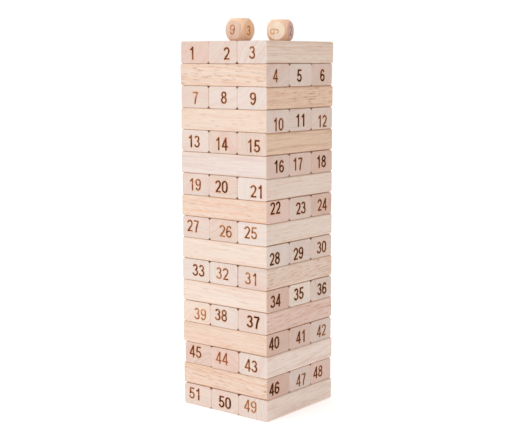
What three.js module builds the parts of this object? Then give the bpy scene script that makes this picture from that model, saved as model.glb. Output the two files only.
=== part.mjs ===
// Giant tumbling tower: numbered wooden blocks stacked three to a layer, each layer turned a quarter
// turn against the one below, with two wooden dice standing on the top layer.
// Millimetres, +Z up. The origin is the middle of the tower's foot, on the ground.
// The -Y side shows the ends of blocks 1, 2 and 3, and the +X side the ends of 4, 5 and 6.

import * as THREE from "three";
import { mergeVertices } from "three/addons/utils/BufferGeometryUtils.js";

// Driving dimensions
const BLOCK_LENGTH = 190.5;
const BLOCK_WIDTH = 63.1;
const BLOCK_THICKNESS = 37.9;
const LONG_EDGE_RADIUS = 4; // the four edges along the block
const END_EDGE_RADIUS = 1.5; // all round each end
const EDGE_STEPS = 4; // facets round each edge
const LAYER_GAP = 0.2; // clearance between layers, so that no two blocks share a face
const SIDE_GAP = 0.2; // between the blocks of a tight layer
const HAND_PLAY = 0.3; // the most that a block's numbered end stands out from, or back from, its place
const SET_BACK = { 6: 1, 45: 1.8 }; // blocks that are pushed in further than that
const DIE_SIZE = 39; // across the flats
const DIE_SPHERE = 1.29; // radius of the sphere that rounds a die, in half die sizes
const DIE_FACETS = 8; // grid cells along each edge of a die

const LAYER_PITCH = BLOCK_THICKNESS + LAYER_GAP;

const WOODS = {
  cream: { color: "#eadcc8", roughness: 0.62 },
  pink: { color: "#e6d0c6", roughness: 0.62 },
  peach: { color: "#edcfad", roughness: 0.58 },
  tan: { color: "#d9bd9e", roughness: 0.64 },
  dice: { color: "#e2b994", roughness: 0.5 },
};

// The layers from the top down. Odd layers from the top lie along Y and are listed from -X to +X.
// Even ones lie along X and are listed from -Y to +Y. Stacked by hand, each layer is a little to one
// side of the tower's middle (shift, in the direction it is listed), and a few have open gaps between
// their blocks.
const LAYERS = [
  { numbers: [1, 2, 3], woods: ["pink", "cream", "cream"], shift: -0.5 },
  { numbers: [4, 5, 6], woods: ["peach", "cream", "tan"], shift: -2 },
  { numbers: [7, 8, 9], woods: ["cream", "pink", "tan"], shift: -0.5, gaps: [0.4, 0.3] },
  { numbers: [10, 11, 12], woods: ["cream", "pink", "pink"], shift: -2 },
  { numbers: [13, 14, 15], woods: ["cream", "peach", "tan"], shift: -0.5 },
  { numbers: [16, 17, 18], woods: ["pink", "cream", "pink"], shift: -1.5 },
  { numbers: [19, 20, 21], woods: ["cream", "pink", "cream"], shift: -0.5 },
  { numbers: [22, 23, 24], woods: ["peach", "cream", "pink"], shift: -1 },
  { numbers: [27, 26, 25], woods: ["cream", "pink", "cream"], shift: 0 },
  { numbers: [28, 29, 30], woods: ["cream", "pink", "cream"], shift: -1 },
  { numbers: [33, 32, 31], woods: ["pink", "pink", "tan"], shift: 0, gaps: [SIDE_GAP, 1.6] },
  { numbers: [34, 35, 36], woods: ["peach", "cream", "pink"], shift: -0.5 },
  { numbers: [39, 38, 37], woods: ["cream", "pink", "tan"], shift: 0.5 },
  { numbers: [40, 41, 42], woods: ["peach", "pink", "pink"], shift: 0 },
  { numbers: [45, 44, 43], woods: ["peach", "pink", "cream"], shift: 2, gaps: [SIDE_GAP, 0.4] },
  { numbers: [46, 47, 48], woods: ["peach", "pink", "tan"], shift: 0.5 },
  { numbers: [51, 50, 49], woods: ["cream", "pink", "cream"], shift: 1.5, gaps: [0.4, 0.6] },
];
const TOWER_TOP = LAYERS.length * LAYER_PITCH - LAYER_GAP;

// Where each die stands on block 2, clear of blocks 1 and 3 so that they can be lifted past it, and how
// far it is turned from the tower's own directions
const DICE = [
  { name: "die_left", x: -7.5, y: -40, turn: 5 },
  { name: "die_right", x: 8, y: 54.5, turn: 16.5 },
];

function woodMaterial(wood) {
  return new THREE.MeshStandardMaterial({ ...WOODS[wood], metalness: 0 });
}

// Welds a geometry's doubled corner points, so that it is one closed surface.
function weld(geometry) {
  geometry.deleteAttribute("normal");
  geometry.deleteAttribute("uv");
  const welded = mergeVertices(geometry, 1e-3);
  welded.computeVertexNormals();
  return welded;
}

function roundedRectangle(width, height, radius) {
  const x = width / 2 - radius;
  const y = height / 2 - radius;
  const quarter = Math.PI / 2;
  const shape = new THREE.Shape();
  shape.absarc(x, y, radius, 0, quarter);
  shape.absarc(-x, y, radius, quarter, 2 * quarter);
  shape.absarc(-x, -y, radius, 2 * quarter, 3 * quarter);
  shape.absarc(x, -y, radius, 3 * quarter, 4 * quarter);
  return shape;
}

// A block lies along its own X axis. It is a bar with rounded long edges, and its ends are eased all
// round.
function makeBlock(number, wood) {
  const section = roundedRectangle(BLOCK_WIDTH, BLOCK_THICKNESS, LONG_EDGE_RADIUS);
  const depth = BLOCK_LENGTH - 2 * END_EDGE_RADIUS;
  const bar = new THREE.ExtrudeGeometry(section, {
    depth,
    curveSegments: EDGE_STEPS / 2, // three.js draws twice as many facets along an arc
    bevelSize: END_EDGE_RADIUS,
    bevelThickness: END_EDGE_RADIUS,
    bevelOffset: -END_EDGE_RADIUS,
    bevelSegments: EDGE_STEPS,
  });
  bar.translate(0, 0, -depth / 2);
  bar.rotateX(Math.PI / 2);
  bar.rotateZ(Math.PI / 2);
  const block = new THREE.Mesh(weld(bar), woodMaterial(wood));
  block.name = `block_${String(number).padStart(2, "0")}`;
  return block;
}

// Blocks are pushed into line by hand, so each numbered end stands a little back from its true place,
// or out.
function setBack(number) {
  return SET_BACK[number] ?? HAND_PLAY * Math.sin(2.4 * number);
}

// One layer of three blocks, laid along the layer's own X axis, and turned a quarter turn when it lies
// along Y. The numbered ends are at -Y in a layer that lies along Y, and at +X in one that lies along X.
function makeLayer({ numbers, woods, shift, gaps = [SIDE_GAP, SIDE_GAP] }, fromTop) {
  const layer = new THREE.Group();
  const alongY = fromTop % 2 === 0;
  const middle = shift + (gaps[0] - gaps[1]) / 2;
  const across = [middle - BLOCK_WIDTH - gaps[0], middle, middle + BLOCK_WIDTH + gaps[1]];
  numbers.forEach((number, place) => {
    const block = makeBlock(number, woods[place]);
    const back = setBack(number);
    block.position.set(alongY ? back : -back, alongY ? -across[place] : across[place], 0);
    layer.add(block);
  });
  layer.rotation.z = alongY ? Math.PI / 2 : 0;
  layer.position.z = TOWER_TOP - BLOCK_THICKNESS / 2 - fromTop * LAYER_PITCH;
  return layer;
}

// A die is a cube cut back by a sphere, which leaves six round faces and rounded corners.
function makeDie({ name, x, y, turn }) {
  const cube = new THREE.BoxGeometry(DIE_SIZE, DIE_SIZE, DIE_SIZE, DIE_FACETS, DIE_FACETS, DIE_FACETS);
  const radius = (DIE_SPHERE * DIE_SIZE) / 2;
  const points = cube.getAttribute("position");
  const point = new THREE.Vector3();
  for (let i = 0; i < points.count; i++) {
    point.fromBufferAttribute(points, i).clampLength(0, radius);
    points.setXYZ(i, point.x, point.y, point.z);
  }
  const die = new THREE.Mesh(weld(cube), woodMaterial("dice"));
  die.name = name;
  die.position.set(x, y, TOWER_TOP + LAYER_GAP + DIE_SIZE / 2);
  die.rotation.z = THREE.MathUtils.degToRad(turn);
  return die;
}

const tower = new THREE.Group();
LAYERS.forEach((layer, fromTop) => tower.add(makeLayer(layer, fromTop)));
DICE.forEach((die) => tower.add(makeDie(die)));

export default tower;
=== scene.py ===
"""The looks of the giant tumbling tower: stamped, eased wooden blocks and two wooden dice.

Every block of the frame is replaced by a finer one with rounded edges and its number burnt into
one end, and each die by one with numbers on its six sides. Lengths are in metres, and angles in
degrees.
"""

import math
import random

import bmesh
import bpy
import numpy as np
from mathutils import Matrix, Vector
from mathutils.geometry import delaunay_2d_cdt


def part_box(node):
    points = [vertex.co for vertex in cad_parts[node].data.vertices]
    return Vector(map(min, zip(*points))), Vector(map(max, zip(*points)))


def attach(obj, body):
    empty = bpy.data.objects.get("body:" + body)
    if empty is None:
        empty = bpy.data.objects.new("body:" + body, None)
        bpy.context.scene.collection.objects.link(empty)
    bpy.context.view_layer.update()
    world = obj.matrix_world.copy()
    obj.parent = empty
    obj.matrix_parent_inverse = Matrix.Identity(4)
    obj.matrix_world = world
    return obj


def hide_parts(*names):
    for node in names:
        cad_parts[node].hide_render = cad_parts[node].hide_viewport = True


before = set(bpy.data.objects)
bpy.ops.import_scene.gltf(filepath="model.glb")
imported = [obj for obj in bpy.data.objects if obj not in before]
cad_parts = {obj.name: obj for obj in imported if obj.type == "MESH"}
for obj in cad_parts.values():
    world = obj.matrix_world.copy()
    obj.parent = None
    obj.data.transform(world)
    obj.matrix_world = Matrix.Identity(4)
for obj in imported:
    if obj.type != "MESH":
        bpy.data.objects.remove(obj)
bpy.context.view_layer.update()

MM = 0.001

# Blocks
LONG_RADIUS = 4.0 * MM  # the four edges along a block
END_RADIUS = 1.0 * MM  # all round each end
EDGE_STEPS = 5  # facets round each edge
FIT = 0.07 * MM  # a block reaches this much past its solid to each side, and twice this upwards
FLAT = 0.9999  # a face is shaded flat when its normal is this close to a main direction
WELD = 0.01 * MM  # points nearer to each other than this are one

# The number stamped into a block's end
STAMP_HEIGHT = 21.5 * MM
STAMP_WEIGHT = 0.107  # width of an upright stroke, in stamp heights
STAMP_SPREAD = 0.034  # how much wider it is where it is burnt black
STAMP_THIN = 0.72  # width of a level stroke, in widths of an upright one
STAMP_DEPTH = 0.7 * MM
STAMP_SLOPE = 0.6 * MM  # how far in from its rim a stroke reaches full depth
SCORCH_REACH = 1.8 * MM  # how far past the rim the wood is browned
SCORCH_SHARE = 0.42  # how burnt it is there at the most, where the stamp is 1
DIGIT_WIDTH = 0.6  # in stamp heights
DIGIT_PITCH = 0.69  # from one digit to the next, in stamp heights

# Dice
DIE_SPHERE = 1.29  # radius of the sphere that rounds a die, in half die sizes
DIE_EDGE_CELLS = 22
DIE_RIM_POINTS = 60  # round each flat side
DIE_STAMP_HEIGHT = 17.5 * MM
DIE_STAMP_WEIGHT = 0.085
DIE_STAMP_DEPTH = 0.4 * MM
DIE_STAMP_SLOPE = 0.3 * MM
DIE_RIM_LINE = 0.10  # a thin brown line round each flat side
DIE_HEART_ANGLE = 60

# Spacing of the mesh points on a stamped face, which lie on a grid of equal triangles
FINE = 0.6 * MM
ROW = FINE * math.sqrt(0.75)  # from one row of the grid to the next
COARSE = 3  # spacing away from the stamp's rim, in steps of FINE
RIM_BAND = 1.6 * FINE  # how far from the rim the grid is fine
BLOCK_GRID_REACH = 4.0 * MM  # how far past a block's stamp the grid goes on

# Colours of the wood in plain light, sRGB
WOODS = {
    "milk": (0.915, 0.845, 0.805),
    "ivory": (0.880, 0.815, 0.765),
    "pearl": (0.860, 0.805, 0.775),
    "cream": (0.875, 0.795, 0.735),
    "linen": (0.850, 0.790, 0.755),
    "oat": (0.845, 0.770, 0.730),
    "rose": (0.845, 0.760, 0.710),
    "apricot": (0.870, 0.780, 0.715),
    "salmon": (0.865, 0.750, 0.700),
    "honey": (0.870, 0.750, 0.655),
    "blush": (0.835, 0.735, 0.685),
    "tan": (0.825, 0.705, 0.645),
}

# Rubbed edges, paled and warmed: partly the wear of sanded wood, partly a painted highlight and
# painted warm bounce light from the seams
EDGE_WEAR_AND_LIGHT_COLOUR = (0.82, 0.56, 0.38)  # linear; mixed into rubbed edges as wear, painted highlight and painted bounce light
EDGE_PALENESS = 0.25
RUBBED_LIT_SHARE = 0.9  # how much of a rounded edge's width is rubbed and painted lighter
RUBBED_LIT_FROM = 0.05 * END_RADIUS  # how far back from the flat of the end the rubbing and painted light begin

# Painted shade, brown, in the margins where layers lie on each other and in the grooves between
# blocks
CREVICE_SHADE_COLOUR = (0.40, 0.18, 0.10)  # linear; the colour of the painted shade in those crevices
SHADE_MARGIN_WIDTH = 1.0 * MM  # the margin of a block's top and bottom, where layers touch, that is darkened with painted shade
SHADE_MARGIN_HEIGHT = 0.3 * MM  # how far down from the top, or up from the bottom, that margin goes
SEAM_SHADE = 0.35  # painted shade in those margins, where it is 1 at the ends of the grooves between blocks
GROOVE_SHADE = 0.2  # painted shade along the rest of those grooves
GROOVE_FROM = 0.02 * END_RADIUS  # how far back from the flat of the end the grooves begin
GROOVE_REACH = 8.0 * MM  # how far in from each end the grooves get the full painted shade
HAIR = 0.1 * MM  # slack where a place is compared with one that points lie on

# The sides on which the three blocks of a layer have a neighbour
TOUCHING = ((1,), (-1, 1), (-1,))

# The blocks from the top layer down, as they are read on the side that shows their ends: number,
# colour of the sides, colour of the end, where the stamp sits from the middle of the end (right
# and up, mm), how darkly it is burnt (black from 1 on), the direction of the log's heart seen
# from the middle of the end (degrees), and the figure of the wood
BLOCKS = (
    (1, "salmon", "blush", (-6, -1), 0.86, 200, "plain"),
    (2, "oat", "oat", (9.5, -2), 0.92, 135, "lined"),
    (3, "cream", "linen", (1, -0.5), 0.69, 315, "lined"),
    (4, "cream", "rose", (-7, -0.5), 0.75, 60, "wavy"),
    (5, "cream", "oat", (-4, -1), 1.22, 10, "plain"),
    (6, "honey", "blush", (2, -1), 1.15, 170, "lined"),
    (7, "cream", "oat", (1.5, -1.5), 0.56, 290, "plain"),
    (8, "ivory", "linen", (2.5, 0), 0.80, 80, "plain"),
    (9, "honey", "pearl", (2.5, -0.5), 0.78, 130, "flecked"),
    (10, "cream", "oat", (0.5, -5.5), 0.89, 40, "plain"),
    (11, "cream", "oat", (0.5, -1), 1.15, 110, "lined"),
    (12, "apricot", "rose", (0.5, -5), 0.81, 130, "plain"),
    (13, "ivory", "linen", (-3, -1), 0.77, 250, "plain"),
    (14, "apricot", "rose", (-3.5, -2.5), 0.80, 350, "wavy"),
    (15, "honey", "rose", (4, -3), 0.82, 40, "lined"),
    (16, "pearl", "blush", (2.5, 0), 1.08, 25, "pink"),
    (17, "blush", "blush", (-8, 0.5), 0.86, 190, "plain"),
    (18, "tan", "tan", (-2, 0), 1.14, 160, "plain"),
    (19, "cream", "oat", (-1.5, -0.5), 0.68, 280, "plain"),
    (20, "apricot", "rose", (-3.5, 0), 0.93, 100, "lined"),
    (21, "ivory", "pearl", (11, -3), 0.81, 320, "plain"),
    (22, "apricot", "salmon", (-7.5, 6.5), 1.22, 120, "orange"),
    (23, "apricot", "rose", (1, -0.5), 1.10, 70, "plain"),
    (24, "tan", "tan", (2, -1), 0.86, 145, "lined"),
    (27, "apricot", "oat", (-7, 2), 0.71, 260, "plain"),
    (26, "apricot", "rose", (5, -0.5), 0.61, 130, "lined"),
    (25, "ivory", "pearl", (-3, 2), 0.63, 125, "plain"),
    (28, "ivory", "linen", (-9.5, -3.5), 1.13, 85, "plain"),
    (29, "cream", "oat", (-5, -3.5), 1.15, 60, "lined"),
    (30, "apricot", "rose", (1, -1), 0.93, 100, "plain"),
    (33, "ivory", "linen", (6, 0), 0.82, 125, "plain"),
    (32, "ivory", "pearl", (-2.5, 0.5), 0.63, 75, "lined"),
    (31, "cream", "oat", (-2, -1), 0.57, 230, "wavy"),
    (34, "ivory", "tan", (-7, -1), 1.09, 150, "plain"),
    (35, "ivory", "ivory", (-3.5, 1), 1.25, 95, "plain"),
    (36, "apricot", "oat", (2, -0.5), 1.15, 35, "lined"),
    (39, "ivory", "cream", (8, -2.5), 0.49, 300, "plain"),
    (38, "cream", "linen", (-7, 2.5), 0.78, 65, "plain"),
    (37, "salmon", "oat", (2, 0.5), 1.15, 110, "flecked"),
    (40, "apricot", "tan", (-11, 2), 1.16, 20, "plain"),
    (41, "honey", "blush", (2.5, -1), 0.96, 140, "lined"),
    (42, "cream", "oat", (1.5, -1.5), 0.68, 75, "plain"),
    (45, "salmon", "blush", (-7, 3), 0.69, 310, "lined"),
    (44, "salmon", "blush", (-6.5, 1.5), 0.54, 50, "plain"),
    (43, "milk", "linen", (-4.5, -1), 0.73, 170, "lined"),
    (46, "apricot", "tan", (-11, -2), 1.19, 100, "wavy"),
    (47, "cream", "oat", (3, -3.5), 0.71, 60, "plain"),
    (48, "salmon", "salmon", (-8.5, 0), 0.79, 120, "flecked"),
    (51, "cream", "oat", (-6.5, 2), 0.73, 280, "plain"),
    (50, "cream", "oat", (0, -1), 1.08, 90, "plain"),
    (49, "milk", "linen", (-5.5, 3), 0.56, 20, "lined"),
)

# Figures of the wood: strength of the growth rings, of the dark flecks, of the broad bands
# between rings and of the streaks; colour of the streaks; and the most that the grain leans
# across a block (degrees)
FIGURES = {
    "plain": (0.40, 0.45, 0.8, 0.35, (0.97, 0.88, 0.80), 1.5),
    "lined": (1.20, 0.45, 0.7, 0.40, (0.88, 0.83, 0.78), 1.5),
    "flecked": (0.50, 1.10, 0.7, 0.40, (0.92, 0.80, 0.70), 2.5),
    "wavy": (0.90, 1.10, 1.0, 0.45, (0.97, 0.84, 0.72), 4.0),
    "orange": (0.40, 0.60, 0.5, 0.55, (1.00, 0.81, 0.66), 2.5),
    "pink": (0.60, 0.25, 0.7, 0.45, (0.95, 0.87, 0.89), 1.0),
}

# Where a piece lies in its log: how far off the heart is, and how far along the log, at random
HEART_AWAY = (55, 130)  # mm
LOG_HALF_LENGTH = 3

# Growth rings
RING_WIDTH = 4.6 * MM
BAND_WIDTH = 13 * MM
BAND_CHANGE = 1.5  # how fast the bands change along the log, per metre
RING_DRIFT = 22 * MM  # how far a ring strays in the long run
RING_WOBBLE = 2.5 * MM  # and over a short way
RING_UNEVEN = 9 * MM  # how much the spacing of the rings varies
RING_UNEVEN_OVER = 17 * MM  # over this distance

# Marks in the wood: what each multiplies the wood's colour by, linear
WARM_BAND = (0.97, 0.90, 0.90)
COOL_BAND = (0.93, 0.94, 0.95)
PATCH = (0.95, 0.94, 0.90)
SIDE_RING = (0.84, 0.76, 0.70)
END_RING = (0.83, 0.80, 0.77)
FIBRE = (0.86, 0.82, 0.80)
FLECK = (0.68, 0.52, 0.42)

# Surface of the wood
SANDED_ROUGHNESS = (0.46, 0.66)
CHARRED_ROUGHNESS = 0.95
WOOD_SPECULAR = 0.3
GRAIN_STRENGTH = 0.35
GRAIN_DEPTH = 0.25 * MM

# Colours of the dice's wood, sRGB
DIE_WOODS = {
    "blush": (0.875, 0.770, 0.700),
    "peach": (0.960, 0.815, 0.705),
    "pale": (0.995, 0.940, 0.870),
    "amber": (0.975, 0.805, 0.655),
    "mauve": (0.840, 0.700, 0.660),
}

# The dice: how far each is turned from the tower's own directions, the colour of its rounded
# part, and for each side the number, how far it is turned, where it sits from the middle (right
# and up, mm), how darkly it is burnt, and the colour of the wood there
DICE = {
    "die_left": (5.0, "peach", {
        "front": (6, 174, (-2.5, 0), 0.50, "blush"),
        "right": (3, 0, (-2, -1.5), 0.66, "amber"),
        "back": (1, 0, (0, 0), 0.60, "blush"),
        "left": (4, 90, (0, 0), 0.60, "peach"),
        "top": (2, 0, (0, 0), 0.60, "peach"),
        "bottom": (5, 0, (0, 0), 0.60, "peach"),
    }),
    "die_right": (16.5, "peach", {
        "front": (6, -86, (-4, -1.5), 0.34, "pale"),
        "right": (2, 0, (0, 0), 0.72, "mauve"),
        "back": (1, 0, (0, 0), 0.60, "pale"),
        "left": (5, 0, (0, 0), 0.60, "mauve"),
        "top": (3, 45, (0, 0), 0.60, "peach"),
        "bottom": (4, 0, (0, 0), 0.60, "peach"),
    }),
}

# Camera
CAMERA_AT = (1.2712, -1.5945, 0.6153)
CAMERA_TURN = 38.58
CAMERA_TILT = -7.93
CAMERA_LENS = 80.41  # mm
CAMERA_SENSOR = 36  # mm

# Light. The studio is white all round, and dimmer above the horizon on the side away from the
# sun. Heights are sines of angles, and sides are cosines of angles from the bright side.
SUN_FROM = (-0.35, -0.65, 0.67)
SUN_STRENGTH = 0.73
SUN_SPREAD = 50
STUDIO_BRIGHT_SIDE = (-0.8, -0.6, 0)
STUDIO_FAR_SIDE = (-0.25, -0.8)  # sides between which the dimming sets in
STUDIO_HORIZON = (0.14, 0.30)  # heights between which it sets in
STUDIO_DIM = 0.30

# The floor: a white table top
FLOOR_HALF_SIZE = 30
FLOOR_WHITES = (0.94, 0.97)
FLOOR_TOOTH = 180  # how fine its mottling is, per metre
FLOOR_ROUGHNESS = 0.9
FLOOR_GLOW = 0.3


# ---- Numerals ------------------------------------------------------------------------------

def arc(x, y, across, up, start, end, steps=18):
    """Points along part of an ellipse, from one angle to the other, in degrees."""
    angles = np.radians(np.linspace(start, end, steps))
    return [(x + across * math.cos(a), y + up * math.sin(a)) for a in angles]


def ellipse(x, y, across, up):
    """A closed ellipse, as two arcs whose ends overlap."""
    return [arc(x, y, across, up, 0, 200), arc(x, y, across, up, 180, 380)]


def turned_over(paths):
    """A digit's strokes turned by half a turn in their box."""
    return [[(DIGIT_WIDTH - x, 1 - y) for x, y in path] for path in paths]


SIX = ellipse(0.30, 0.305, 0.225, 0.235) + [
    [(0.075, 0.32), (0.075, 0.44)] + arc(0.310, 0.50, 0.235, 0.425, 180, 38)
]

# The middle lines of each digit's strokes, in a box DIGIT_WIDTH wide and 1 high
DIGITS = {
    "0": [
        arc(0.30, 0.66, 0.225, 0.265, -8, 188),
        arc(0.30, 0.34, 0.225, 0.265, 172, 368),
        [(0.075, 0.30), (0.075, 0.70)],
        [(0.525, 0.30), (0.525, 0.70)],
    ],
    "1": [[(0.37, 0.0), (0.37, 1.0)], [(0.13, 0.755), (0.26, 0.83), (0.37, 0.96)]],
    "2": [
        arc(0.295, 0.695, 0.225, 0.23, 168, -28) + [(0.42, 0.45), (0.24, 0.25), (0.125, 0.09)],
        [(0.045, 0.075), (0.565, 0.075)],
    ],
    "3": [
        arc(0.285, 0.725, 0.195, 0.20, 160, -90),
        arc(0.285, 0.300, 0.235, 0.225, 90, -165),
    ],
    "4": [
        [(0.43, 0.0), (0.43, 1.0)],
        [(0.405, 0.95), (0.07, 0.30)],
        [(0.0, 0.275), (0.60, 0.275)],
    ],
    "5": [
        [(0.13, 0.925), (0.545, 0.925)],
        [(0.165, 0.96), (0.115, 0.46)],
        arc(0.29, 0.325, 0.235, 0.25, 142, -165),
    ],
    "6": SIX,
    "7": [
        [(0.04, 0.925), (0.565, 0.925)],
        [(0.525, 0.90), (0.40, 0.62), (0.31, 0.34), (0.265, 0.0)],
    ],
    "8": ellipse(0.30, 0.735, 0.195, 0.19) + ellipse(0.30, 0.300, 0.225, 0.225),
    "9": turned_over(SIX),
}


def thicken(path, weight):
    """The outline of a stroke along a path, drawn with a pen that is wider than it is high."""
    path = np.array(path, float)
    along = np.gradient(path, axis=0)
    along /= np.linalg.norm(along, axis=1)[:, None]
    side = np.stack([-along[:, 1], along[:, 0] * STAMP_THIN], 1) * weight / 2
    return np.concatenate([path + side, (path - side)[::-1]])


def numeral(number, height, weight, centre, turn=0):
    """The outlines of a number's strokes, with the number's middle at centre (right and up, mm)."""
    digits = str(number)
    width = DIGIT_PITCH * (len(digits) - 1) + DIGIT_WIDTH
    angle = math.radians(turn)
    cos, sin = math.cos(angle), math.sin(angle)
    turning = np.array([[cos, sin], [-sin, cos]])
    outlines = []
    for place, digit in enumerate(digits):
        for path in DIGITS[digit]:
            flat = thicken(path, weight) + (DIGIT_PITCH * place - width / 2, -0.5)
            outlines.append(flat * height @ turning + np.array(centre) * MM)
    return outlines


def stamp_field(points, outlines):
    """How far each point is outside the stamp, and the nearest point of the stamp's rim.

    Inside the stamp the distance is less than 0.
    """
    distance = np.full(len(points), np.inf)
    nearest = points.copy()
    rows = np.arange(len(points))
    x, y = points[:, :1], points[:, 1:]
    for outline in outlines:
        start, end = outline, np.roll(outline, -1, axis=0)
        edge = end - start
        share = ((points[:, None] - start) * edge).sum(2) / (edge**2).sum(1)
        foot = start + np.clip(share, 0, 1)[..., None] * edge
        gap = np.linalg.norm(points[:, None] - foot, axis=2)
        which = gap.argmin(1)
        rise = np.where(edge[:, 1] == 0, 1, edge[:, 1])
        crossed = (start[:, 1] > y) != (end[:, 1] > y)
        crossed &= x < start[:, 0] + (y - start[:, 1]) / rise * edge[:, 0]
        inside = crossed.sum(1) % 2 == 1
        signed = np.where(inside, -gap[rows, which], gap[rows, which])
        closer = signed < distance
        distance[closer] = signed[closer]
        nearest[closer] = foot[rows, which][closer]
    return distance, nearest


def triangle_grid(low, high):
    """Points on a grid of equal triangles, with the column and the row that each is in."""
    columns = np.arange(low[0], high[0], FINE)
    lines = np.arange(low[1], high[1], ROW)
    column, line = np.meshgrid(np.arange(len(columns)), np.arange(len(lines)))
    across = columns[column] + (line % 2) * FINE / 2
    grid = np.stack([across, lines[line]], 2).reshape(-1, 2)
    grid = grid[(grid < high).all(1)]
    column, line = np.round((grid - low) / (FINE, ROW)).astype(int).T
    return grid, column, line


def closed_loop(start, count):
    return [(start + i, start + (i + 1) % count) for i in range(count)]


def stamped_face(corners, outlines, reach, rim=()):
    """Triangulates a flat face, finely where the stamp's rim runs and coarsely within its reach.

    Edges run along the face's own rim, if there is one. Returns the points, the triangles, and
    how far each point is outside the stamp.
    """
    corners = np.array(corners, float)
    grid, column, line = triangle_grid(corners.min(0) + FINE, corners.max(0) - FINE)
    distance, nearest = stamp_field(grid, outlines)
    snapped = np.where((np.abs(distance) < FINE / 2)[:, None], nearest, grid)
    sparse = (column % COARSE == 0) & (line % COARSE == 0)
    kept = snapped[(np.abs(distance) < RIM_BAND) | (sparse & (distance < reach))]
    points = np.concatenate([corners, np.array(rim, float).reshape(-1, 2), kept])
    count = len(corners)
    edges = closed_loop(0, count) + closed_loop(count, len(rim))
    outline = list(range(count))
    only_inside, tolerance = 1, FINE / 50
    flat, _, triangles, _, _, _ = delaunay_2d_cdt(
        [Vector(p) for p in points], edges, [outline], only_inside, tolerance
    )
    flat = np.array([tuple(p) for p in flat])
    return flat, triangles, stamp_field(flat, outlines)[0]


def burn_of(distance, darkness):
    """How burnt the wood is: full inside the stamp, then fading out over the scorched margin."""
    fade = np.clip(1 - distance / SCORCH_REACH, 0, 1) ** 2
    return darkness * np.where(distance < 0, 1.0, SCORCH_SHARE * fade)


def sunk_by(distance, depth, slope):
    """How deep each point of a stamped face lies."""
    return depth * np.clip(-distance / slope, 0, 1)


# ---- Materials -----------------------------------------------------------------------------

def linear(colour):
    """A colour given in sRGB, as the linear values that a shader takes."""
    return [c / 12.92 if c <= 0.04045 else ((c + 0.055) / 1.055) ** 2.4 for c in colour]


class Nodes:
    """Short ways to add and join shader nodes."""

    def __init__(self, tree):
        self.tree = tree
        self.new = tree.nodes.new

    def put(self, socket, value):
        """Links a socket to another node's output, or sets it to a plain value."""
        if isinstance(value, bpy.types.NodeSocket):
            self.tree.links.new(value, socket)
        elif value is not None:
            socket.default_value = value

    def math(self, operation, a, b=None):
        node = self.new("ShaderNodeMath")
        node.operation = operation
        self.put(node.inputs[0], a)
        self.put(node.inputs[1], b)
        return node.outputs[0]

    def vector(self, operation, a, b=None):
        node = self.new("ShaderNodeVectorMath")
        node.operation = operation
        self.put(node.inputs[0], a)
        self.put(node.inputs[1], b)
        return node.outputs["Value" if operation in ("LENGTH", "DOT_PRODUCT") else "Vector"]

    def attribute(self, name, output):
        node = self.new("ShaderNodeAttribute")
        node.attribute_name = name
        return node.outputs[output]

    def join(self, x, y, z):
        node = self.new("ShaderNodeCombineXYZ")
        for socket, value in zip(node.inputs, (x, y, z)):
            self.put(socket, value)
        return node.outputs[0]

    def split(self, vector):
        node = self.new("ShaderNodeSeparateXYZ")
        self.put(node.inputs[0], vector)
        return node.outputs

    def noise(self, vector, scale=1.0, detail=2.0, roughness=0.5):
        node = self.new("ShaderNodeTexNoise")
        self.put(node.inputs["Vector"], vector)
        node.inputs["Scale"].default_value = scale
        node.inputs["Detail"].default_value = detail
        node.inputs["Roughness"].default_value = roughness
        return node.outputs["Fac"]

    def grain(self, log, across, along, detail, roughness=0.5):
        """Noise with its own fineness across the log and along it, per metre."""
        stretched = self.vector("MULTIPLY", log, (across, across, along))
        return self.noise(stretched, detail=detail, roughness=roughness)

    def between(self, value, low, high, to_low=0.0, to_high=1.0):
        """Goes smoothly from to_low to to_high while the value goes from low to high."""
        node = self.new("ShaderNodeMapRange")
        node.interpolation_type = "SMOOTHSTEP"
        for place, number in enumerate((value, low, high, to_low, to_high)):
            self.put(node.inputs[place], number)
        return node.outputs[0]

    def ramp(self, value, stops):
        node = self.new("ShaderNodeValToRGB")
        self.put(node.inputs[0], value)
        elements = node.color_ramp.elements
        while len(elements) < len(stops):
            elements.new(0.5)
        for element, (place, colour) in zip(elements, stops):
            element.position = place
            element.color = (*colour, 1)
        return node.outputs[0]

    def mix(self, kind, share, a, b):
        node = self.new("ShaderNodeMix")
        node.data_type = "RGBA"
        node.blend_type = kind
        self.put(node.inputs[0], share)
        for place, colour in ((6, a), (7, b)):
            self.put(node.inputs[place], (*colour, 1) if isinstance(colour, tuple) else colour)
        return node.outputs[2]

    def darken(self, colour, by, *shares):
        """Multiplies a colour by another one, as far as the product of the shares says."""
        share = shares[0]
        for other in shares[1:]:
            share = self.math("MULTIPLY", share, other)
        return self.mix("MULTIPLY", share, colour, by)


def ring_distance(n, log):
    """Distance from the heart of the log, bent and unevenly spaced as growth rings are."""
    x, y, _ = n.split(log)
    radius = n.vector("LENGTH", n.join(x, y, None))
    drift = n.grain(log, 14, 2.5, detail=3)
    wobble = n.grain(log, 70, 7, detail=2)
    bent = n.math("ADD", radius, n.math("MULTIPLY", drift, RING_DRIFT))
    bent = n.math("ADD", bent, n.math("MULTIPLY", wobble, RING_WOBBLE))
    uneven = n.noise(n.join(n.math("DIVIDE", bent, RING_UNEVEN_OVER), None, None), detail=1)
    return n.math("ADD", bent, n.math("MULTIPLY", uneven, RING_UNEVEN))


def growth_rings(n, distance):
    """Growth rings, no two equally dark: each darkens slowly outwards and then stops short."""
    turn = n.math("DIVIDE", distance, RING_WIDTH)
    shade = n.new("ShaderNodeTexWhiteNoise")
    shade.noise_dimensions = "1D"
    n.put(shade.inputs["W"], n.math("FLOOR", turn))
    ring = n.ramp(n.math("FRACT", turn), [
        (0.0, (0, 0, 0)),
        (0.55, (0.25,) * 3),
        (0.86, (1, 1, 1)),
        (1.0, (0, 0, 0)),
    ])
    return n.math("MULTIPLY", ring, n.between(shade.outputs["Value"], 0, 1, 0.2, 1.3))


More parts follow.
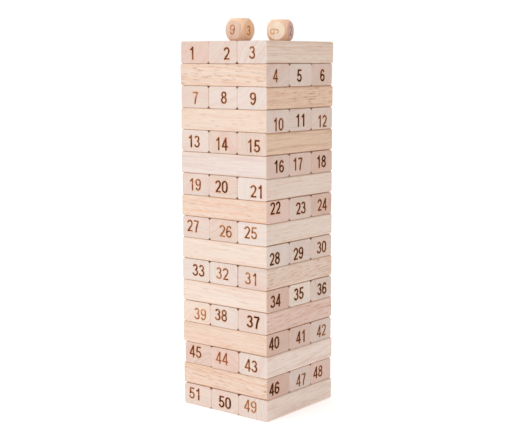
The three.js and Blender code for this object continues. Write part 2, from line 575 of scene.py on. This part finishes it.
def wood_patterns(n, log):
    """The patterns in the wood at each place in the log, from the growth rings to the fibres."""
    distance = ring_distance(n, log)
    along = n.split(log)[2]
    across = n.math("DIVIDE", distance, BAND_WIDTH)
    band_place = n.join(across, None, n.math("MULTIPLY", along, BAND_CHANGE))
    return {
        "rings": growth_rings(n, distance),
        "bands": n.noise(band_place, detail=2),
        "fibres": n.grain(log, 900, 16, detail=3),
        "flecks": n.grain(log, 460, 48, detail=2),
        "streaks": n.grain(log, 190, 8, detail=3, roughness=0.6),
        "patches": n.grain(log, 22, 4, detail=2),
    }


def figured_colour(n, patterns):
    """The tint of a piece with the figure of its wood, which shows otherwise on end grain."""
    end_grain = n.attribute("end_grain", "Fac")

    def by_grain(on_side, on_end):
        return n.between(end_grain, 0, 1, on_side, on_end)

    ring_share, fleck_share, band_share = n.split(n.attribute("figure", "Vector"))
    band_share = n.math("MULTIPLY", band_share, by_grain(0.49, 0.98))
    bands, fibres, streaks = patterns["bands"], patterns["fibres"], patterns["streaks"]
    colour = n.attribute("tint", "Color")
    colour = n.darken(colour, WARM_BAND, n.between(bands, 0.46, 0.62), band_share)
    colour = n.darken(colour, COOL_BAND, n.between(bands, 0.50, 0.34), band_share)
    colour = n.darken(colour, PATCH, n.between(patterns["patches"], 0.35, 0.7, 0.0, 0.5))
    streak_share = n.math("MULTIPLY", n.attribute("streak", "Alpha"), by_grain(1.0, 0.2))
    streak_colour = n.attribute("streak", "Color")
    colour = n.darken(colour, streak_colour, n.between(streaks, 0.46, 0.68), streak_share)
    ring_colour = n.mix("MIX", end_grain, SIDE_RING, END_RING)
    colour = n.darken(colour, ring_colour, patterns["rings"], ring_share, 0.6)
    colour = n.darken(colour, FIBRE, n.between(fibres, 0.35, 0.75, 0.0, 0.58), by_grain(1.0, 0.6))
    flecks = n.between(patterns["flecks"], 0.56, 0.68)
    return n.darken(colour, FLECK, flecks, fleck_share, by_grain(0.7, 0.105))


def used_colour(n, colour, patches):
    """Pales and warms a colour on rubbed edges, as wear and as painted highlight and painted warm
    bounce light, and darkens it with painted shade in the margins and grooves where blocks meet, in
    patches.
    """
    edge_paling = n.math("MULTIPLY", n.attribute("rubbed_and_lit", "Fac"), EDGE_PALENESS)
    colour = n.mix("MIX", edge_paling, colour, EDGE_WEAR_AND_LIGHT_COLOUR)
    # painted shade, brown, in the crevices between blocks and between layers
    crevice_shade = n.attribute("crevice_shade", "Fac")
    return n.darken(colour, CREVICE_SHADE_COLOUR, crevice_shade, n.between(patches, 0.3, 0.7, 0.7, 1.0))


def stamped_colour(n, log, colour, burn):
    """Browns and blackens a colour where the wood is burnt, unevenly."""
    blotch = n.between(n.grain(log, 120, 120, detail=2), 0.32, 0.68, 0.72, 1.16)
    speckle = n.between(n.grain(log, 480, 480, detail=1), 0.3, 0.7, -0.08, 0.08)
    scorch = n.ramp(n.math("MULTIPLY", burn, n.math("ADD", blotch, speckle)), [
        (0.0, (1, 1, 1)),
        (0.15, (0.96, 0.76, 0.56)),
        (0.40, (0.62, 0.30, 0.15)),
        (0.65, (0.24, 0.08, 0.035)),
        (1.0, (0.045, 0.014, 0.008)),
    ])
    return n.darken(colour, scorch, 1.0)


def grain_bump(n, patterns):
    """A fine relief: raised fibres and rings, and sunk flecks."""
    height = n.math(
        "ADD",
        n.math("MULTIPLY", patterns["fibres"], 0.6),
        n.math("MULTIPLY", patterns["flecks"], -0.5),
    )
    height = n.math("ADD", height, n.math("MULTIPLY", patterns["rings"], 0.3))
    bump = n.new("ShaderNodeBump")
    bump.inputs["Strength"].default_value = GRAIN_STRENGTH
    bump.inputs["Distance"].default_value = GRAIN_DEPTH
    n.put(bump.inputs["Height"], height)
    return bump.outputs[0]


def wood_material():
    """Sanded pale hardwood from a log whose axis is the log attribute's Z, with a burnt stamp."""
    material = bpy.data.materials.new("sanded_wood")
    material.use_nodes = True
    n = Nodes(material.node_tree)
    shader = material.node_tree.nodes["Principled BSDF"]
    log = n.attribute("log", "Vector")
    burn = n.attribute("burn", "Fac")
    patterns = wood_patterns(n, log)
    colour = used_colour(n, figured_colour(n, patterns), patterns["patches"])
    n.put(shader.inputs["Base Color"], stamped_colour(n, log, colour, burn))
    sanded = n.between(patterns["fibres"], 0.3, 0.8, *SANDED_ROUGHNESS)
    charred = n.between(burn, 0.1, 0.5, 0, CHARRED_ROUGHNESS)
    n.put(shader.inputs["Roughness"], n.math("MAXIMUM", sanded, charred))
    shader.inputs["Specular IOR Level"].default_value = WOOD_SPECULAR
    n.put(shader.inputs["Normal"], grain_bump(n, patterns))
    return material


def floor_material():
    """A milky white table top, faintly mottled and lit from below."""
    material = bpy.data.materials.new("lit_table")
    material.use_nodes = True
    n = Nodes(material.node_tree)
    shader = material.node_tree.nodes["Principled BSDF"]
    place = n.new("ShaderNodeTexCoord").outputs["Object"]
    tooth = n.noise(place, scale=FLOOR_TOOTH, detail=3)
    whites = [(share, (white,) * 3) for share, white in enumerate(FLOOR_WHITES)]
    n.put(shader.inputs["Base Color"], n.ramp(tooth, whites))
    shader.inputs["Roughness"].default_value = FLOOR_ROUGHNESS
    shader.inputs["Emission Color"].default_value = (1, 1, 1, 1)
    shader.inputs["Emission Strength"].default_value = FLOOR_GLOW
    return material


# ---- Pieces --------------------------------------------------------------------------------


def store(mesh, name, kind, values, domain="POINT"):
    """Writes one value for each point (or face) of a mesh as a named attribute."""
    layer = mesh.attributes.new(name, kind, domain)
    field = {"FLOAT": "value", "FLOAT_VECTOR": "vector", "FLOAT_COLOR": "color"}[kind]
    layer.data.foreach_set(field, np.asarray(values, np.float32).ravel())


def store_wood(mesh, points, rng, heart_angle, figure):
    """Gives every point its place in the log that the piece was cut from, and its figure."""
    rings, flecks, bands, streaks, streak_colour, lean = FIGURES[figure]
    angle = math.radians(heart_angle)
    away = rng.uniform(*HEART_AWAY) * MM
    along = rng.uniform(-LOG_HALF_LENGTH, LOG_HALF_LENGTH)
    heart = Vector((math.cos(angle) * away, math.sin(angle) * away, along))
    turned = Matrix.Rotation(math.radians(rng.uniform(-lean, lean)), 3, "Y")
    turned = Matrix.Rotation(math.radians(-lean), 3, "X") @ turned
    streak = (*linear(streak_colour), streaks)
    store(mesh, "log", "FLOAT_VECTOR", (points - heart) @ np.array(turned).T)
    store(mesh, "figure", "FLOAT_VECTOR", np.tile((rings, flecks, bands), (len(points), 1)))
    store(mesh, "streak", "FLOAT_COLOR", np.tile(streak, (len(points), 1)))


def face_grid(bm, burn_layer, points, triangles, burn, place):
    """Adds a triangulated face to a mesh, with place giving each point its position in space."""
    corners = [bm.verts.new(place(i)) for i in range(len(points))]
    for corner, share in zip(corners, burn):
        corner[burn_layer] = share
    return [bm.faces.new([corners[i] for i in triangle]) for triangle in triangles]


def mesh_from(bm, name):
    mesh = bpy.data.meshes.new(name)
    bm.to_mesh(mesh)
    bm.free()
    return mesh


def points_of(mesh):
    points = np.zeros(len(mesh.vertices) * 3)
    mesh.vertices.foreach_get("co", points)
    return points.reshape(-1, 3)


def section(width, height, inset):
    """Points round a block's section, drawn in by an inset: a rectangle with rounded corners."""
    corner = LONG_RADIUS - inset
    across, up = width / 2 - LONG_RADIUS, height / 2 - LONG_RADIUS
    # this point on each flat side is where the painted shade of the top and bottom margin stops
    shelf = across - SHADE_MARGIN_WIDTH
    upper = arc(across, up, corner, corner, 0, 90, EDGE_STEPS + 1)
    upper += [(shelf, up + corner), (-shelf, up + corner)]
    upper += arc(-across, up, corner, corner, 90, 180, EDGE_STEPS + 1)
    return upper + [(-x, -y) for x, y in upper]


def section_levels(length):
    """The inset of a block's section and its place along the block, from one end to the other.

    Besides the rounding of each end there are two more near it, where its margins and grooves of
    painted shade stop.
    """
    half = length / 2
    rounding = [
        (END_RADIUS * (1 - math.sin(angle)), half - END_RADIUS * (1 - math.cos(angle)))
        for angle in np.linspace(0, math.pi / 2, EDGE_STEPS + 1)
    ]
    rounding += [(0, half - END_RADIUS - SHADE_MARGIN_WIDTH), (0, half - GROOVE_REACH)]
    return [(inset, -level) for inset, level in rounding] + rounding[::-1]


def block_mesh(name, size, number, stamp, darkness):
    """A block along its own Z with rounded edges and its number sunk into its +Z end."""
    width, height, length = size
    bm = bmesh.new()
    burn_layer = bm.verts.layers.float.new("burn")
    loops = [
        [bm.verts.new((*point, z)) for point in section(width, height, inset)]
        for inset, z in section_levels(length)
    ]
    bm.faces.new(loops[0][::-1])
    for low, high in zip(loops, loops[1:]):
        for i in range(len(low)):
            bm.faces.new((low[i - 1], low[i], high[i], high[i - 1]))
    weight = STAMP_WEIGHT + STAMP_SPREAD * darkness
    outlines = numeral(number, STAMP_HEIGHT, weight, stamp)
    rim = section(width, height, END_RADIUS)
    points, triangles, distance = stamped_face(rim, outlines, BLOCK_GRID_REACH)
    sunk = sunk_by(distance, STAMP_DEPTH, STAMP_SLOPE)
    burn = burn_of(distance, darkness)
    face_grid(bm, burn_layer, points, triangles, burn, lambda i: (*points[i], length / 2 - sunk[i]))
    bmesh.ops.remove_doubles(bm, verts=list(bm.verts), dist=WELD)
    bm.normal_update()
    for face in bm.faces:
        face.smooth = max(abs(part) for part in face.normal) < FLAT
    return mesh_from(bm, name)


def edge_masks(points, size, touching, pressed):
    """How rubbed and painted lighter each point of a block is, and how darkened with painted shade
    where the block touches others.

    Touching holds the sides (-1 and 1) that have a neighbour in the same layer. Pressed holds
    the sides up (1) and down (-1) where another layer or the ground lies against the block.
    """
    x, y, z = (np.array(size) / 2 - np.abs(points)).T
    # rubbed edges, painted paler and warmer: partly wear, partly painted highlight and warm bounce
    # light
    on_long = np.maximum(x, y) < RUBBED_LIT_SHARE * LONG_RADIUS
    on_end = np.maximum(np.minimum(x, y), z) < RUBBED_LIT_SHARE * END_RADIUS
    on_end &= z > RUBBED_LIT_FROM
    # painted shade in the margins where layers lie on each other and in the grooves between blocks
    margin = (x < LONG_RADIUS + SHADE_MARGIN_WIDTH / 2) | (z < END_RADIUS + SHADE_MARGIN_WIDTH / 2)
    groove = on_long & np.isin(np.sign(points[:, 0]), touching) & (z > GROOVE_FROM)
    groove_shade_share = np.where(z < GROOVE_REACH - HAIR, 1.0, GROOVE_SHADE)
    crevice_shade = np.maximum(SEAM_SHADE * (margin & (y < SHADE_MARGIN_HEIGHT)), groove_shade_share * groove)
    crevice_shade *= np.isin(np.sign(points[:, 1]), pressed)
    return ((on_long | on_end) & ~groove).astype(float), crevice_shade


def finish_piece(mesh, place, material, node):
    """Puts a finished mesh where its frame node is and hands it over to the frame."""
    mesh.transform(place)
    mesh.materials.append(material)
    piece = bpy.data.objects.new(mesh.name, mesh)
    bpy.context.scene.collection.objects.link(piece)
    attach(piece, node)
    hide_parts(node)


def make_block(material, touching, pressed, number, side, end, stamp, darkness, heart_angle, figure):
    node = f"block_{number:02d}"
    low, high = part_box(node)
    span = high - low
    if span.y > span.x:  # the numbered end faces -Y
        axes = Matrix(((1, 0, 0), (0, 0, -1), (0, 1, 0)))
        size = (span.x + 2 * FIT, span.z + 2 * FIT, span.y)
    else:  # the numbered end faces +X
        axes = Matrix(((0, 0, 1), (1, 0, 0), (0, 1, 0)))
        size = (span.y + 2 * FIT, span.z + 2 * FIT, span.x)
    mesh = block_mesh(node + "_wood", size, number, stamp, darkness)
    points = points_of(mesh)
    store_wood(mesh, points, random.Random(number), heart_angle, figure)
    on_end = np.abs(points[:, 2:]) > size[2] / 2 - END_RADIUS / 2
    tint = np.where(on_end, linear(WOODS[end]), linear(WOODS[side]))
    store(mesh, "tint", "FLOAT_COLOR", np.column_stack([tint, np.ones(len(tint))]))
    store(mesh, "end_grain", "FLOAT", on_end)
    # the rubbed edges' paling, which is wear and painted highlight, and the painted shade where
    # blocks and layers meet
    rubbed_and_lit, crevice_shade = edge_masks(points, size, touching, pressed)
    store(mesh, "rubbed_and_lit", "FLOAT", rubbed_and_lit)
    store(mesh, "crevice_shade", "FLOAT", crevice_shade)
    middle = (low + high) / 2 + Vector((0, 0, FIT))
    finish_piece(mesh, Matrix.Translation(middle) @ axes.to_4x4(), material, node)


def die_face_axes(side):
    """The directions right, up and out of one side of a die that stands in line with the tower."""
    front = Matrix(((1, 0, 0), (0, 0, -1), (0, 1, 0)))
    turns = {"front": 0, "right": 90, "back": 180, "left": 270}
    if side in turns:
        return Matrix.Rotation(math.radians(turns[side]), 3, "Z") @ front
    if side == "top":
        return Matrix.Identity(3)
    return Matrix.Rotation(math.pi, 3, "X")


def square(half, cells):
    """Points round a square, starting from its lower left corner."""
    steps = np.linspace(-half, half, cells + 1)[:-1]
    side = np.stack([steps, np.full(cells, -half)], 1)
    quarter = np.array([[0, 1], [-1, 0]])
    return np.concatenate([side @ np.linalg.matrix_power(quarter, i) for i in range(4)])


def die_side(bm, burn_layer, half, which, number, turn, stamp, darkness):
    """Adds one side of a die to a mesh, cut back by the die's sphere, and returns its flat faces."""
    sphere = DIE_SPHERE * half
    flat_radius = math.sqrt(sphere**2 - half**2)
    rim = arc(0, 0, flat_radius, flat_radius, 0, 360 - 360 / DIE_RIM_POINTS, DIE_RIM_POINTS)
    outlines = numeral(number, DIE_STAMP_HEIGHT, DIE_STAMP_WEIGHT, stamp, turn)
    corners = square(half, DIE_EDGE_CELLS)
    points, triangles, distance = stamped_face(corners, outlines, 2 * half, rim)
    from_middle = np.linalg.norm(points, axis=1)
    on_rim = np.abs(from_middle - flat_radius) < HAIR
    # a thin brown line round the rim of each flat side goes into the burn values too
    burn = np.maximum(burn_of(distance, darkness), np.where(on_rim, DIE_RIM_LINE, 0))
    sunk = sunk_by(distance, DIE_STAMP_DEPTH, DIE_STAMP_SLOPE)
    axes = die_face_axes(which)

    def place(i):
        point = Vector((*points[i], half))
        if point.length > sphere:
            point.length = sphere
        point.z -= sunk[i]
        return axes @ point

    faces = face_grid(bm, burn_layer, points, triangles, burn, place)
    return [
        face for face, triangle in zip(faces, triangles)
        if from_middle[list(triangle)].max() < flat_radius + HAIR / 2
    ]


def die_mesh(name, size, wood, sides):
    """A cube cut back by a sphere, with a number sunk into each of its six round flats."""
    bm = bmesh.new()
    burn_layer = bm.verts.layers.float.new("burn")
    flats = {}
    for which, (number, turn, stamp, darkness, flat_wood) in sides.items():
        faces = die_side(bm, burn_layer, size / 2, which, number, turn, stamp, darkness)
        flats.update((face, flat_wood) for face in faces)
    bmesh.ops.remove_doubles(bm, verts=list(bm.verts), dist=2 * WELD)
    woods = []
    for face in bm.faces:
        face.smooth = True
        woods.append(flats.get(face, wood))
    for edge in bm.edges:
        edge.smooth = len({face in flats for face in edge.link_faces}) == 1
    mesh = mesh_from(bm, name)
    tints = [(*linear(DIE_WOODS[kind]), 1) for kind in woods]
    store(mesh, "tint", "FLOAT_COLOR", tints, "FACE")
    return mesh


def make_die(material, node, turn, wood, sides):
    low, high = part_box(node)
    mesh = die_mesh(node + "_wood", high.z - low.z, wood, sides)
    store_wood(mesh, points_of(mesh), random.Random(node), DIE_HEART_ANGLE, "plain")
    turned = Matrix.Rotation(math.radians(turn), 4, "Z")
    finish_piece(mesh, Matrix.Translation((low + high) / 2) @ turned, material, node)


# ---- Studio --------------------------------------------------------------------------------

def make_camera():
    data = bpy.data.cameras.new("camera")
    data.lens = CAMERA_LENS
    data.sensor_width = CAMERA_SENSOR
    camera = bpy.data.objects.new("camera", data)
    camera.location = CAMERA_AT
    camera.rotation_euler = (math.radians(90 + CAMERA_TILT), 0, math.radians(CAMERA_TURN))
    bpy.context.scene.collection.objects.link(camera)
    bpy.context.scene.camera = camera


def make_floor():
    bm = bmesh.new()
    bmesh.ops.create_grid(bm, x_segments=1, y_segments=1, size=FLOOR_HALF_SIZE)
    mesh = mesh_from(bm, "floor")
    mesh.materials.append(floor_material())
    floor = bpy.data.objects.new("floor", mesh)
    bpy.context.scene.collection.objects.link(floor)


def make_sun():
    data = bpy.data.lights.new("sun", "SUN")
    data.energy = SUN_STRENGTH
    data.angle = math.radians(SUN_SPREAD)
    light = bpy.data.objects.new("sun", data)
    light.rotation_euler = Vector(SUN_FROM).to_track_quat("Z", "Y").to_euler()
    bpy.context.scene.collection.objects.link(light)


def make_world():
    world = bpy.data.worlds.new("studio")
    world.use_nodes = True
    n = Nodes(world.node_tree)
    background = world.node_tree.nodes["Background"]
    background.inputs["Color"].default_value = (1, 1, 1, 1)
    direction = n.new("ShaderNodeTexCoord").outputs["Generated"]
    far_side = n.between(n.vector("DOT_PRODUCT", direction, STUDIO_BRIGHT_SIDE), *STUDIO_FAR_SIDE)
    above = n.between(n.split(direction)[2], *STUDIO_HORIZON)
    dimmed = n.math("MULTIPLY", far_side, above)
    n.put(background.inputs["Strength"], n.between(dimmed, 0, 1, 1.0, STUDIO_DIM))
    bpy.context.scene.world = world


make_camera()
make_world()
make_floor()
make_sun()
bpy.context.scene.view_settings.view_transform = "Standard"

wood = wood_material()
for place, block in enumerate(BLOCKS):
    layer, spot = divmod(place, len(TOUCHING))
    pressed = (-1,) if layer == 0 else (-1, 1)  # nothing lies on the top layer, so its top gets no painted shade
    make_block(wood, TOUCHING[spot], pressed, *block)
for die, facts in DICE.items():
    make_die(wood, die, *facts)
